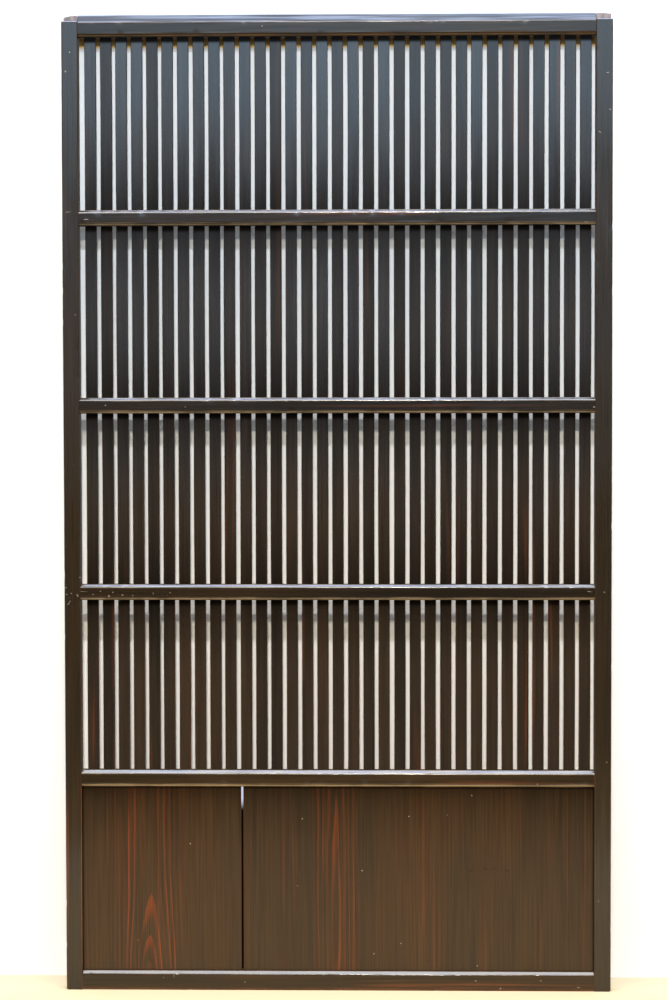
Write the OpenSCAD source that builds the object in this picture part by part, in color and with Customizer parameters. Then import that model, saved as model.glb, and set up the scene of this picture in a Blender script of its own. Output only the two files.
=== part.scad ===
// Sliding lattice door leaf in dark stained cedar.
// Two stiles hold six rails. Thirty-three upright slats run through mortises in the cross rails,
// and two boards fill the foot panel. A rebated tongue along the head runs in the head track.
// X is the width, the front faces -Y, and the leaf stands on Z = 0. Lengths are in millimetres.

/* [Leaf] */
// Width over both stiles
leaf_w = 970; // [850:1:1100]
// Height with the head tongue
leaf_h = 1730; // [1600:1:2000]
// Thickness of the stiles
leaf_t = 30; // [26:0.5:40]

/* [Stiles] */
// Face width of the left stile
left_stile_w = 29; // [26:0.5:45]
// Face width of the right stile
right_stile_w = 30; // [26:0.5:45]
// Fine bevel along the edges of the stiles and the head
frame_arris = 1; // [0.3:0.1:2]
// Worn rounding of the lower outer corners
foot_round = 4; // [1:0.5:8]

/* [Head tongue] */
// Height of the tongue above the shoulder of the stiles
tongue_h = 12; // [6:0.5:16]
// Depth of the rebate that is cut in front of the tongue
tongue_rebate = 12; // [8:0.5:14]
// How far the tongue's front leans back from its root to its top
tongue_lean = 2; // [0:0.5:3]
// How far the tongue stops short of the outer side of each stile
tongue_end_step = 3; // [1:0.5:6]
// How far the top rail's shoulder lies below the stiles' shoulder
head_drop = 1.5; // [0:0.1:3]

/* [Rails] */
// How far the rails lie behind the faces of the stiles
rail_setback = 1; // [0:0.1:2]
// Face height of the top rail, from its lower edge to its shoulder
top_rail_h = 26.5; // [24:0.5:60]
// Face height of a cross rail
cross_rail_h = 28; // [22:0.5:45]
// Face height of the waist rail
waist_rail_h = 30; // [26:0.5:60]
// Face height of the bottom rail
bottom_rail_h = 34; // [24:0.5:120]
// Number of cross rails between the top rail and the waist rail
cross_rail_n = 3; // [1:1:5]
// Chamfer on the lower edges of the top rail
top_chamfer = 5.5; // [1:0.5:7]
// Chamfer on the four long edges of a cross rail
cross_chamfer = 5; // [1:0.5:7]
// Chamfer on the four long edges of the waist rail
waist_chamfer = 6; // [1:0.5:7]
// Chamfer on the upper edges of the bottom rail
bottom_chamfer = 5.5; // [1:0.5:7]

/* [Lattice] */
// Number of slats
slat_n = 33; // [5:1:33]
// Face width of a slat
slat_w = 20; // [12:0.5:21]
// Thickness of a slat
slat_t = 10; // [6:0.5:12]
// Bevel along the edges of a slat
slat_arris = 0.6; // [0.2:0.1:1.5]
// Gap between the left stile and the first slat, wider than the others
first_gap = 11; // [6:0.5:20]
// Largest drift of a slat from even spacing, as set out by hand
slat_drift = 0.4; // [0:0.1:0.6]
// Length of the stub tenon at each end of a slat
stub_l = 10; // [5:0.5:13]
// Shoulder on each narrow side of the stub tenon
stub_side_shoulder = 3.5; // [1:0.5:5]
// Shoulder on each broad side of the stub tenon
stub_face_shoulder = 2; // [0.5:0.25:2.5]

/* [Foot panel] */
// Clear height of the panel between the waist rail and the bottom rail
panel_h = 330; // [200:1:450]
// Width of the left board that shows
left_board_w = 283.5; // [120:0.5:400]
// Thickness of the boards
board_t = 7; // [5:0.5:12]
// Open crack between the two boards
crack_w = 4; // [0.5:0.5:8]
// How far the edges of the boards stand in their grooves
board_tongue = 5; // [3:0.5:6]
// Room left for the boards at the bottom of their grooves
groove_room = 1; // [0.2:0.1:2]

/* [Joints] */
// Length of the blind tenons of the rails
tenon_l = 20; // [12:0.5:22]
// Thickness of the tenons of the rails
tenon_t = 10; // [6:0.5:14]
// Shoulder above and below each tenon
tenon_shoulder = 7; // [6.5:0.5:9]
// Clearance round each tenon, slat and board edge
fit = 0.1; // [0.05:0.05:0.3]

/* [Hidden] */
$fn = 48;
// How far a cutting solid runs past the face that it cuts
slip = 1;
drift_seed = 17;
rail_t = leaf_t - 2 * rail_setback;
shoulder_z = leaf_h - tongue_h;
head_z = shoulder_z - head_drop;
tongue_front = tongue_rebate - leaf_t / 2;

groove_d = board_tongue + groove_room;
stub_w = slat_w - 2 * stub_side_shoulder;
stub_t = slat_t - 2 * stub_face_shoulder;

clear_left = left_stile_w - leaf_w / 2;
clear_right = leaf_w / 2 - right_stile_w;
clear_w = clear_right - clear_left;

panel_z = bottom_rail_h;
waist_z = panel_z + panel_h;
lattice_z = waist_z + waist_rail_h;
top_rail_z = head_z - top_rail_h;
bay_h = (top_rail_z - lattice_z - cross_rail_n * cross_rail_h) / (cross_rail_n + 1);

slat_gap = (clear_w - first_gap - slat_n * slat_w) / slat_n;
slat_drifts = rands(-slat_drift, slat_drift, slat_n, drift_seed);

function cross_rail_z(k) = top_rail_z - k * (bay_h + cross_rail_h);
function even_slat_x(i) = clear_left + first_gap + slat_w / 2 + (i - 1) * (slat_w + slat_gap);
function slat_x(i) = even_slat_x(i) + slat_drifts[i - 1];
function two_digits(i) = i < 10 ? str("0", i) : str(i);
function cross_rail_name(k) = str("cross_rail_", k);
function slat_name(i) = str("slat_", two_digits(i));

// Outline of a centred rectangle, w by t, with its four corners cut at 45 degrees
function bevelled(w, t, c) = [
    [c - w / 2, -t / 2], [w / 2 - c, -t / 2], [w / 2, c - t / 2], [w / 2, t / 2 - c],
    [w / 2 - c, t / 2], [c - w / 2, t / 2], [-w / 2, t / 2 - c], [-w / 2, c - t / 2]
];

// Outline of a rail in thickness and height, with one chamfer along its foot and one along its top
function rail_outline(h, c_low, c_high) = [
    [c_low - rail_t / 2, 0], [rail_t / 2 - c_low, 0], [rail_t / 2, c_low], [rail_t / 2, h - c_high],
    [rail_t / 2 - c_high, h], [c_high - rail_t / 2, h], [-rail_t / 2, h - c_high], [-rail_t / 2, c_low]
];

// A box from x0 to x1 and z0 to z1, centred in the thickness of the leaf
module middle_box(x0, x1, t, z0, z1) {
    translate([x0, -t / 2, z0]) cube([x1 - x0, t, z1 - z0]);
}

// Carries an outline in thickness and height along X
module along_x(x0, x1) {
    translate([x0, 0, 0]) rotate([90, 0, 90]) linear_extrude(x1 - x0) children();
}

// Tenon of a rail at height z, or with grow its mortise, from the left stile to the right one
module rail_tenons(z, h, grow) {
    for (x = [[clear_left - tenon_l - grow, clear_left], [clear_right, clear_right + tenon_l + grow]])
        middle_box(x[0], x[1], tenon_t + 2 * grow, z + tenon_shoulder - grow, z + h - tenon_shoulder + grow);
}

// Mortises in the stiles for every rail
module stile_mortises() {
    rail_tenons(0, bottom_rail_h, fit);
    rail_tenons(waist_z, waist_rail_h, fit);
    for (k = [1 : cross_rail_n]) rail_tenons(cross_rail_z(k), cross_rail_h, fit);
    rail_tenons(top_rail_z, top_rail_h, fit);
}

// Groove that holds the boards in the stiles, the waist rail and the bottom rail
module panel_groove() {
    middle_box(clear_left - groove_d, clear_right + groove_d, board_t + 2 * fit,
               panel_z - groove_d, waist_z + groove_d);
}

// What is cut away in front of the head tongue of the stiles
module tongue_waste() {
    along_x(-leaf_w, leaf_w) polygon([
        [-leaf_t, shoulder_z], [tongue_front, shoulder_z], [tongue_front + tongue_lean, leaf_h],
        [tongue_front + tongue_lean, leaf_h + slip], [-leaf_t, leaf_h + slip]
    ]);
}

// Corner piece that leaves a quarter round when it is cut off a lower outer corner
module foot_waste(x, side) {
    translate([x, leaf_t, 0]) rotate([90, 0, 0]) linear_extrude(2 * leaf_t) difference() {
        translate([side > 0 ? -foot_round : -slip, -slip]) square(foot_round + slip);
        translate([-side * foot_round, foot_round]) circle(foot_round);
    }
}

// Upright of the frame: side is -1 for the left stile and 1 for the right one
module stile(w, side) {
    outer_x = side * leaf_w / 2;
    step_x = outer_x - side * tongue_end_step;
    color([0.22, 0.18, 0.14]) difference() {
        translate([outer_x - side * w / 2, 0, 0]) linear_extrude(leaf_h)
            polygon(bevelled(w, leaf_t, frame_arris));
        tongue_waste();
        middle_box(min(step_x, step_x + side * w), max(step_x, step_x + side * w), 2 * leaf_t,
                   shoulder_z, leaf_h + slip);
        foot_waste(outer_x, side);
        stile_mortises();
        panel_groove();
    }
}

module stile_left() {
    stile(left_stile_w, -1);
}

module stile_right() {
    stile(right_stile_w, 1);
}

// Head of the frame: a chamfered rail whose back part rises as the tongue
module top_rail() {
    rise = leaf_h - top_rail_z;
    color([0.25, 0.24, 0.23]) difference() {
        union() {
            translate([0, 0, top_rail_z]) along_x(clear_left, clear_right) polygon([
                [top_chamfer - rail_t / 2, 0], [rail_t / 2 - top_chamfer, 0], [rail_t / 2, top_chamfer],
                [rail_t / 2, rise - frame_arris], [rail_t / 2 - frame_arris, rise],
                [tongue_front + tongue_lean, rise], [tongue_front, top_rail_h],
                [frame_arris - rail_t / 2, top_rail_h], [-rail_t / 2, top_rail_h - frame_arris],
                [-rail_t / 2, top_chamfer]
            ]);
            rail_tenons(top_rail_z, top_rail_h, 0);
        }
        stub_mortises(top_rail_z - slip, top_rail_z + stub_l + fit);
    }
}

// Cross rail k, counted from the top: every slat passes through its own mortise
module cross_rail(k) {
    z = cross_rail_z(k);
    color([0.21, 0.17, 0.13]) difference() {
        union() {
            translate([0, 0, z]) along_x(clear_left, clear_right)
                polygon(rail_outline(cross_rail_h, cross_chamfer, cross_chamfer));
            rail_tenons(z, cross_rail_h, 0);
        }
        for (i = [1 : slat_n])
            translate([slat_x(i), 0, z - slip]) linear_extrude(cross_rail_h + 2 * slip)
                square([slat_w + 2 * fit, slat_t + 2 * fit], center = true);
    }
}

// Rail between the lattice and the foot panel
module waist_rail() {
    color([0.24, 0.18, 0.12]) difference() {
        union() {
            translate([0, 0, waist_z]) along_x(clear_left, clear_right)
                polygon(rail_outline(waist_rail_h, waist_chamfer, waist_chamfer));
            rail_tenons(waist_z, waist_rail_h, 0);
        }
        stub_mortises(lattice_z - stub_l - fit, lattice_z + slip);
        panel_groove();
    }
}

// Rail that the leaf stands and slides on
module bottom_rail() {
    color([0.30, 0.23, 0.16]) difference() {
        union() {
            along_x(clear_left, clear_right)
                polygon(rail_outline(bottom_rail_h, frame_arris, bottom_chamfer));
            rail_tenons(0, bottom_rail_h, 0);
        }
        panel_groove();
    }
}

// Stub tenon of slat i between two heights, or with grow its mortise
module stub(i, z0, z1, grow) {
    translate([slat_x(i), 0, z0]) linear_extrude(z1 - z0)
        square([stub_w + 2 * grow, stub_t + 2 * grow], center = true);
}

module stub_mortises(z0, z1) {
    for (i = [1 : slat_n]) stub(i, z0, z1, fit);
}

// One slat, from the waist rail through the cross rails to the top rail
module slat(i) {
    tone = 0.15 + 0.02 * (i % 3);
    color([tone + 0.03, tone, tone - 0.03]) union() {
        translate([slat_x(i), 0, lattice_z]) linear_extrude(top_rail_z - lattice_z)
            polygon(bevelled(slat_w, slat_t, slat_arris));
        stub(i, lattice_z - stub_l, top_rail_z + stub_l, 0);
    }
}

// A board of the foot panel between x0 and x1, its upper and lower edges in the grooves
module board(x0, x1) {
    color([0.34, 0.23, 0.14]) middle_box(x0, x1, board_t, panel_z - board_tongue, waist_z + board_tongue);
}

module panel_board_left() {
    board(clear_left - board_tongue, clear_left + left_board_w);
}

module panel_board_right() {
    board(clear_left + left_board_w + crack_w, clear_right + board_tongue);
}

stile_left();
stile_right();
top_rail();
for (k = [1 : cross_rail_n]) cross_rail(k);
waist_rail();
bottom_rail();
for (i = [1 : slat_n]) slat(i);
panel_board_left();
panel_board_right();
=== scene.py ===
from math import radians

import bmesh
import bpy
import numpy as np
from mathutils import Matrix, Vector


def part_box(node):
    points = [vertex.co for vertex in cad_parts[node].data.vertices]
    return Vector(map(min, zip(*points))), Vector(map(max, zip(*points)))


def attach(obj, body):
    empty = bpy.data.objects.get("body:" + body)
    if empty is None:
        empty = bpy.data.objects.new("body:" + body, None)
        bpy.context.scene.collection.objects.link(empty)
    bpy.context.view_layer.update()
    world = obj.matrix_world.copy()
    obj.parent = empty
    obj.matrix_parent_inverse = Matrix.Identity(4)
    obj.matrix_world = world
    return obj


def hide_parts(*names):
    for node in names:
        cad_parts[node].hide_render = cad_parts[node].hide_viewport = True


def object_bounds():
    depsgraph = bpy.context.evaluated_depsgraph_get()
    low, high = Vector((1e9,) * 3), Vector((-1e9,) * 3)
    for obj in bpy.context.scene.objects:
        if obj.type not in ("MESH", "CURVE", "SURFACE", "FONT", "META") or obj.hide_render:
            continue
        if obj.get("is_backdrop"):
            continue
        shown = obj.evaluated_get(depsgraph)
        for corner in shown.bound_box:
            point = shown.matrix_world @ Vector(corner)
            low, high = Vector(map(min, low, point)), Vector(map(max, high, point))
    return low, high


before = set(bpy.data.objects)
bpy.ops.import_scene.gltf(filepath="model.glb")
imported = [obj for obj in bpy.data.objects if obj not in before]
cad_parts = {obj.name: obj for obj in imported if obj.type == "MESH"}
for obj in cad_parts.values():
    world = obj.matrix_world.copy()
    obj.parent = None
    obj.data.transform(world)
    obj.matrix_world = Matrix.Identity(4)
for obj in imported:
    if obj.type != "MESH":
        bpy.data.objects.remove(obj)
cad_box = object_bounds()
rng = np.random.default_rng(23)
MM = 0.001
MICRON = 1e-6


# The view: a long lens at chest height, nearly five metres in front of the leaf and a little right of its
# middle, tipped down by two and a half degrees.
lens_mm = 97.2
sensor_mm = 36.0
view_place = (0.117, -4.781, 1.084)
view_tip, view_roll, view_turn = -2.51, 0.10, 1.48
camera = bpy.data.objects.new("view", bpy.data.cameras.new("view"))
camera.data.lens = lens_mm
camera.data.sensor_fit = "VERTICAL"
camera.data.sensor_height = sensor_mm
camera.location = view_place
camera.rotation_euler = (radians(90 + view_tip), radians(view_roll), radians(view_turn))
bpy.context.scene.collection.objects.link(camera)
bpy.context.scene.camera = camera


# The two stiles: cedar uprights the full height of the leaf, planed by hand and stained nearly black. Each
# has blind mortises for the rails, a groove for the boards, a rebated tongue at its top and a rounded foot.
def rounded(corners, radii, steps=4):
    """Polygon with eased corners. With a and b the unit vectors from corner P to its two neighbours, the
    corner becomes the curve P + r ((1 - t)^2 a + t^2 b), t running from 0 to 1."""
    corners = np.asarray(corners, float)
    a = np.roll(corners, 1, 0) - corners
    b = np.roll(corners, -1, 0) - corners
    a /= np.linalg.norm(a, axis=1, keepdims=True)
    b /= np.linalg.norm(b, axis=1, keepdims=True)
    t = np.linspace(0, 1, steps)[None, :, None]
    r = np.broadcast_to(radii, len(corners))[:, None, None]
    return (corners[:, None] + r * ((1 - t) ** 2 * a[:, None] + t ** 2 * b[:, None])).reshape(-1, 2)


def filled(values, step):
    """Splits every gap wider than step into equal parts no wider than step."""
    gaps = np.diff(values)
    parts = np.maximum(np.ceil(gaps / step - 1e-6).astype(int), 1)
    k = np.arange(parts.sum()) - np.repeat(np.cumsum(parts) - parts, parts)
    return np.append(np.repeat(values[:-1], parts) + k * np.repeat(gaps / parts, parts), values[-1])


def outline_points(outline, step, marks=(), hold=0.5 * MM):
    """Resamples a closed outline by its running length s. It keeps its own points, adds one where a side
    crosses a mark (axis, value) and one close beside each end of a long side, and splits what is longer than
    step."""
    closed = np.vstack([outline, outline[:1]])
    side = np.linalg.norm(np.diff(closed, axis=0), axis=1)
    s = np.append(0, np.cumsum(side))
    long = side > 4 * hold
    cuts = [s, s[:-1][long] + hold, s[1:][long] - hold]
    for axis, value in marks:
        d = closed[:, axis] - value
        hit = d[:-1] * d[1:] < 0
        cuts.append((s[:-1] + side * d[:-1] / np.where(hit, d[:-1] - d[1:], 1))[hit])
    s_new = filled(np.unique(np.round(np.concatenate(cuts), 7)), step)[:-1]
    return np.stack([np.interp(s_new, s, closed[:, k]) for k in (0, 1)], 1)


def drift(at, length):
    """Slow even wandering between -1 and 1: the mean of four sines whose lengths lie near the given one."""
    lengths = length * rng.uniform(0.6, 1.7, 4)
    phases = rng.uniform(0, 2 * np.pi, 4)
    return np.sin(2 * np.pi * np.asarray(at)[..., None] / lengths + phases).mean(-1)


def swell(at, length):
    """The same slow wandering, between 0 and 1."""
    return 0.5 + 0.5 * drift(at, length)


def columns(outline, axis, half_width, face):
    """Indices, in rising order, of the outline's two points that lie at half a pocket's width on both sides
    of the middle of one axis, and nearest to face on the other."""
    from_face = np.abs(outline[:, 1 - axis] - face)
    return sorted(int(np.argmin(np.abs(outline[:, axis] - side) * 1000 + from_face))
                  for side in (-half_width, half_width))


def skin(name, points, arris, clean_and_lit, blind=(), through=()):
    """Closed mesh over a grid: points[i, j] is point j of section i, and neighbours are joined by quads.
    A blind pocket takes the quads from rows i0 to i1 and columns j0 to j1 down by a vector, with walls round
    them. A through one joins the rims of two openings in the same rows. The first of the two weights for each
    point says how worn it is; the second darkens it by dirt and painted shade below 1 and lightens it by
    painted light above 1."""
    rows, cols = points.shape[:2]
    at = np.arange(rows * cols).reshape(rows, cols)
    at = np.hstack([at, at[:, :1]])
    keep = np.ones((rows - 1, cols), bool)
    verts = [points.reshape(-1, 3)]
    faces = []
    total = rows * cols

    def quads(grid):
        return np.stack([grid[:-1, :-1], grid[:-1, 1:], grid[1:, 1:], grid[1:, :-1]], -1)

    def walls(rim, other):
        pairs = (rim[0], other[0]), (rim[-1], other[-1]), (rim[:, 0], other[:, 0]), (rim[:, -1], other[:, -1])
        return [quads(np.stack(pair)).reshape(-1, 4) for pair in pairs]

    for i0, i1, j0, j1, depth in blind:
        rim = at[i0:i1 + 1, j0:j1 + 1]
        keep[i0:i1, j0:j1] = False
        floor = total + np.arange(rim.size).reshape(rim.shape)
        verts.append(points.reshape(-1, 3)[rim.ravel()] + depth)
        total += rim.size
        faces += [quads(floor).reshape(-1, 4)] + walls(rim, floor)
    for i0, i1, j0, j1, k0, k1 in through:
        near, far = at[i0:i1 + 1, j0:j1 + 1], at[i0:i1 + 1, k0:k1 + 1][:, ::-1]
        keep[i0:i1, j0:j1] = False
        keep[i0:i1, k0:k1] = False
        faces += walls(near, far)
    faces = np.concatenate([quads(at)[keep]] + faces).tolist() + [at[0, :-1].tolist(), at[-1, :-1].tolist()]
    mesh = bpy.data.meshes.new(name)
    mesh.from_pydata(np.concatenate(verts), [], faces)
    for label, weights in (("arris", arris), ("clean_and_lit", clean_and_lit)):
        value = np.zeros(total)
        value[:rows * cols] = np.broadcast_to(weights, (rows, cols)).ravel()
        mesh.attributes.new(label, "FLOAT", "POINT").data.foreach_set("value", value.astype(np.float32))
    shell = bmesh.new()
    shell.from_mesh(mesh)
    bmesh.ops.remove_doubles(shell, verts=shell.verts, dist=MICRON)
    bmesh.ops.dissolve_degenerate(shell, edges=shell.edges, dist=MICRON)
    bmesh.ops.recalc_face_normals(shell, faces=shell.faces)
    shell.to_mesh(mesh)
    shell.free()
    mesh.shade_smooth()
    mesh.set_sharp_from_angle(angle=radians(38))
    piece = bpy.data.objects.new(name, mesh)
    bpy.context.scene.collection.objects.link(piece)
    return piece


def turning(outline):
    """1 where the outline turns by more than 0.2 radians, along its eased corners, and 0 on its flats."""
    step = np.roll(outline, -1, 0) - outline
    angle = np.arctan2(step[:, 1], step[:, 0])
    turn = np.abs(np.angle(np.exp(1j * (angle - np.roll(angle, 1)))))
    return (turn > 0.2).astype(float)


def worn_edges(outline, rows, row_step):
    """Wear for each point of a grid: 1 along the outline's turns, times 0.55 plus a slow wandering of 0.45
    from row to row."""
    return turning(outline)[None, :] * (0.55 + 0.45 * drift(np.arange(rows) * row_step, 0.2))[:, None]


def worn_in(points, along, waves, chips, chip_depth):
    """Takes the grid inwards along its own normals: by the slow waves that a hand plane leaves, and by chips,
    each a bell exp(-(d / r)^2) round a place on one of the edges."""
    wave_length, wave_shift = 0.16, 0.04
    normal = np.cross(np.gradient(points, axis=0), np.roll(points, -1, 1) - np.roll(points, 1, 1))
    normal /= np.maximum(np.linalg.norm(normal, axis=-1, keepdims=True), 1e-9)
    middle = points.mean(axis=1, keepdims=True)
    normal *= np.sign((normal * (points - middle)).sum(-1, keepdims=True))
    sink = waves * swell(along[:, None] + wave_shift * np.arange(points.shape[1]), wave_length)
    for place, radius in chips:
        d = np.linalg.norm(points - place, axis=-1)
        sink = np.maximum(sink, chip_depth * np.exp(-(d / radius) ** 2))
    return points - normal * sink[..., None]


def linear(r, g, b):
    """Colour from 0 to 255 as it is seen, turned into light: ((c + 0.055) / 1.055) ^ 2.4."""
    return tuple(((c / 255 + 0.055) / 1.055) ** 2.4 for c in (r, g, b)) + (1.0,)


def wiring(tree):
    """Gives a function that adds one node of a kind, sets or links its inputs in order, and returns its
    output of the given name or else its first one."""
    def add(kind, *inputs, out=None, **settings):
        node = tree.nodes.new("ShaderNode" + kind)
        for key, value in settings.items():
            setattr(node, key, value)
        for slot, value in zip([s for s in node.inputs if s.enabled], inputs):
            if isinstance(value, bpy.types.NodeSocket):
                tree.links.new(value, slot)
            elif value is not None:
                slot.default_value = value
        return [s for s in node.outputs if s.enabled and out in (None, s.name)][0]
    return add


edge_share, nick_share, score_share, stick_share = 0.6, 0.62, 0.9, 0.6
nick_colour, score_colour = (190, 172, 148), (30, 21, 12)
nick_rough, side_rough, bare_rough = 0.3, 0.45, 0.4
top_warm_light, dirt_and_shade_tone, side_sheen = 0.3, 0.12, 0.12
bump_share, bump_depth = 0.35, 0.12 * MM
bare_over = 1.2 * MM


def stained_wood(name, along, dark, brown, warm, streaks, gloss, shine, nicks=(), tone=None, rings=None,
                 worn=None, bared=None, warm_light_fade=None, scores=()):
    """Dark stain on cedar. Broad clouds drift between the dark and the brown tone, fine fibres darken it, and
    the warm wood shows through as streaks or rings and, in the worn colour, along the edges. gloss is the
    finish's roughness and shine the strength of its sheen, and the sides between the faces are matt. Nicks
    are pale and scores dark, each given as x, y, z, length and width in millimetres and a slant in degrees.
    tone is the start and the pitch of a row of sticks, each with its own tone and sheen. Between the two
    heights given for the fade the warm tones go down to three tenths and the sheen grows a little: painted
    light, warm from the floor below and sheen from above. The point weight read from the mesh darkens the
    wood with dirt and painted shade where it is low and lightens it with painted light above 1. bared is a
    height and two greys: above it the wood is bare and weathered."""
    material = bpy.data.materials.new(name)
    material.use_nodes = True
    tree = material.node_tree
    shader = tree.nodes["Principled BSDF"]
    add = wiring(tree)
    place = add("TexCoord", out="Object")

    def stretched(across, length):
        scale = (length, across, across) if along == "X" else (across, across, length)
        return add("Mapping", place, None, None, scale)

    def noise(across, length, detail=3.0, rough=0.6):
        return add("TexNoise", stretched(across, length), 1.0, detail, rough)

    def ramp(value, low, high, low_to=0.0, high_to=1.0):
        return add("MapRange", value, low, high, low_to, high_to, interpolation_type="SMOOTHSTEP")

    def times(a, b):
        return add("Math", a, b, operation="MULTIPLY")

    def mixed(share, a, b):
        return add("Mix", share, a, b, data_type="RGBA")

    # Clouds between the two tones, mixed with each stick's own tone where there is a row of sticks
    clouds = ramp(noise(11.0, 1.3, 3.0), 0.35, 0.68)
    if tone is not None:
        stick = add("SeparateXYZ", place, out="X")
        stick = add("Math", stick, tone[0], operation="SUBTRACT")
        stick = add("Math", stick, tone[1], operation="DIVIDE")
        stick = add("Math", stick, operation="FLOOR")
        stick = add("TexWhiteNoise", stick, noise_dimensions="1D")
        clouds = add("Mix", stick_share, clouds, stick)
    # Painted light: between two given heights the warm tones fade upwards to three tenths, standing in for
    # warm light from the floor below
    warm_light = 1.0
    if warm_light_fade is not None:
        warm_light = ramp(add("SeparateXYZ", place, out="Z"), *warm_light_fade, 1.0, top_warm_light)
        clouds = times(clouds, warm_light)
    colour = mixed(clouds, linear(*dark), linear(*brown))

    # Warm wood in streaks or rings, and worn wood along the edges
    if rings is None:
        lines = ramp(noise(85.0, 1.7, 2.0), 0.56, 0.72)
        patches = ramp(noise(9.0, 1.1, 2.0), 0.42, 0.66)
        lines = times(lines, patches)
    else:
        lines = rings(add, ramp, times, noise, place)
    colour = mixed(times(times(lines, streaks), warm_light), colour, linear(*warm))
    edge = add("Attribute", attribute_name="arris", out="Fac")
    patchy = ramp(noise(60.0, 14.0, 3.0), 0.35, 0.70, 0.25, 1.0)
    edge = add("Math", edge, patchy, operation="MULTIPLY", use_clamp=True)
    colour = mixed(times(times(edge, edge_share), warm_light), colour, linear(*(worn or warm)))

    # Fibres, and darkening by dirt and painted shade where the point weight is low, with painted light above
    # 1
    fibres = noise(330.0, 5.0, 4.0, 0.65)
    shade = ramp(fibres, 0.3, 0.7, 0.72, 1.12)
    clean_and_lit = add("Attribute", attribute_name="clean_and_lit", out="Fac")
    shade = times(shade, add("Math", clean_and_lit, 1 - dirt_and_shade_tone, dirt_and_shade_tone, operation="MULTIPLY_ADD"))
    colour = add("Mix", 1.0, colour, shade, data_type="RGBA", blend_type="MULTIPLY")

    def spots(marks):
        found = None
        for x, y, z, long, wide, slant in marks:
            spot = add("Mapping", place, (x * MM, y * MM, z * MM), (0, radians(slant), 0),
                       (long * MM, 5 * MM, wide * MM), vector_type="TEXTURE")
            spot = add("VectorMath", spot, operation="LENGTH")
            spot = ramp(spot, 1.25, 0.35)
            found = spot if found is None else add("Math", found, spot, operation="MAXIMUM")
        return found

    # Marks: scores in the colour alone, and nicks in the colour, the roughness and the height
    rough = ramp(noise(45.0, 6.0, 3.0), 0.3, 0.7, gloss - 0.03, gloss + 0.05)
    height = add("Math", fibres, times(lines, 0.5), operation="ADD")
    if scores:
        colour = mixed(times(spots(scores), score_share), colour, linear(*score_colour))
    if nicks:
        dent = times(spots(nicks), ramp(noise(700.0, 700.0, 2.0), 0.36, 0.56))
        colour = mixed(times(dent, nick_share), colour, linear(*nick_colour))
        rough = add("Math", rough, times(dent, nick_rough), operation="ADD")
        height = add("Math", height, times(dent, 2.5), operation="SUBTRACT")

    # Sheen, strongest where the wood is clean and unshaded, weak in dirt and painted shade, growing a little
    # higher up as painted sheen, and dulled where it is bare
    side = add("TexCoord", out="Normal")
    side = add("SeparateXYZ", side, out="X" if along == "Z" else "Z")
    side = ramp(add("Math", side, operation="ABSOLUTE"), 0.80, 0.95)
    shine = ramp(clean_and_lit, 0.0, 1.0, 0.02, shine)
    shine = times(shine, add("Math", warm_light, -0.25, 1.25, operation="MULTIPLY_ADD"))
    if tone is not None:
        shine = times(shine, ramp(stick, 0.0, 1.0, 0.58, 1.12))
    shine = times(shine, ramp(side, 0.0, 1.0, 1.0, side_sheen))
    rough = add("Math", rough, times(side, side_rough), operation="ADD")
    if bared is not None:
        bare = ramp(add("SeparateXYZ", place, out="Z"), bared[0], bared[0] + bare_over)
        grey = mixed(ramp(noise(240.0, 5.0, 3.0), 0.35, 0.65), *[linear(*c) for c in bared[1:]])
        colour = mixed(bare, colour, grey)
        rough = add("Math", rough, times(bare, bare_rough), operation="ADD")
    bump = add("Bump", bump_share, bump_depth, None, height)
    tree.links.new(colour, shader.inputs["Base Color"])
    tree.links.new(rough, shader.inputs["Roughness"])
    tree.links.new(shine, shader.inputs["Specular IOR Level"])
    tree.links.new(bump, shader.inputs["Normal"])
    shader.inputs["IOR"].default_value = 1.5
    return material


def settle(piece, node, material):
    """Gives the piece its finish and lets it stand for its CAD node."""
    piece.data.materials.append(material)
    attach(piece, "root")
    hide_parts(node)


tongue_front = -3 * MM
tongue_lean = 2 * MM
tongue_end_step = 3 * MM
tenon_half = 5.1 * MM
tenon_depth = 20.1 * MM
tenon_shoulder = 6.9 * MM
groove_half = 3.6 * MM
groove_depth = 6 * MM
stile_ease = 1.5 * MM
foot_round = 4 * MM
stile_around, stile_step, foot_rows = 3 * MM, 5 * MM, 6
shoulder_row = 1.2 * MM
stile_bow, bow_length, stile_inset = 0.25 * MM, 1.1, 0.3 * MM
stile_wave = 0.12 * MM
stile_chips, stile_chip_depth = 14, 0.7 * MM
stile_chip_r, chips_from = (3, 7), 0.05
shoulder_ease = 0.9 * MM
tongue_back, tongue_ease = 0.3 * MM, 0.8 * MM
shoulder_in, tongue_in = 0.05, 0.07
tongue_sag, tongue_run = 0.5 * MM, 0.026
tongue_drop = {-1: 3.2 * MM, 1: 0.8 * MM}
panel_edge_wear = {-1: 2.2, 1: 0.0}
# Painted light: a bell of extra brightness round this height on each stile stands in for the light that the
# floor throws on them
floor_light_z, floor_light_reach = 0.23, 0.16
floor_light_more = {-1: 0.65, 1: 0.9}

rail_nodes = ["bottom_rail", "waist_rail", "cross_rail_3", "cross_rail_2", "cross_rail_1", "top_rail"]
rail_z = {n: (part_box(n)[0].z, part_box(n)[1].z) for n in rail_nodes}
tongue_height, head_step = 12 * MM, 1.5 * MM
leaf_top = rail_z["top_rail"][1]
shoulder_z = leaf_top - tongue_height
head_z = shoulder_z - head_step
rail_z["top_rail"] = (rail_z["top_rail"][0], head_z)
panel_z0, panel_z1 = rail_z["bottom_rail"][1], rail_z["waist_rail"][0]


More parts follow.
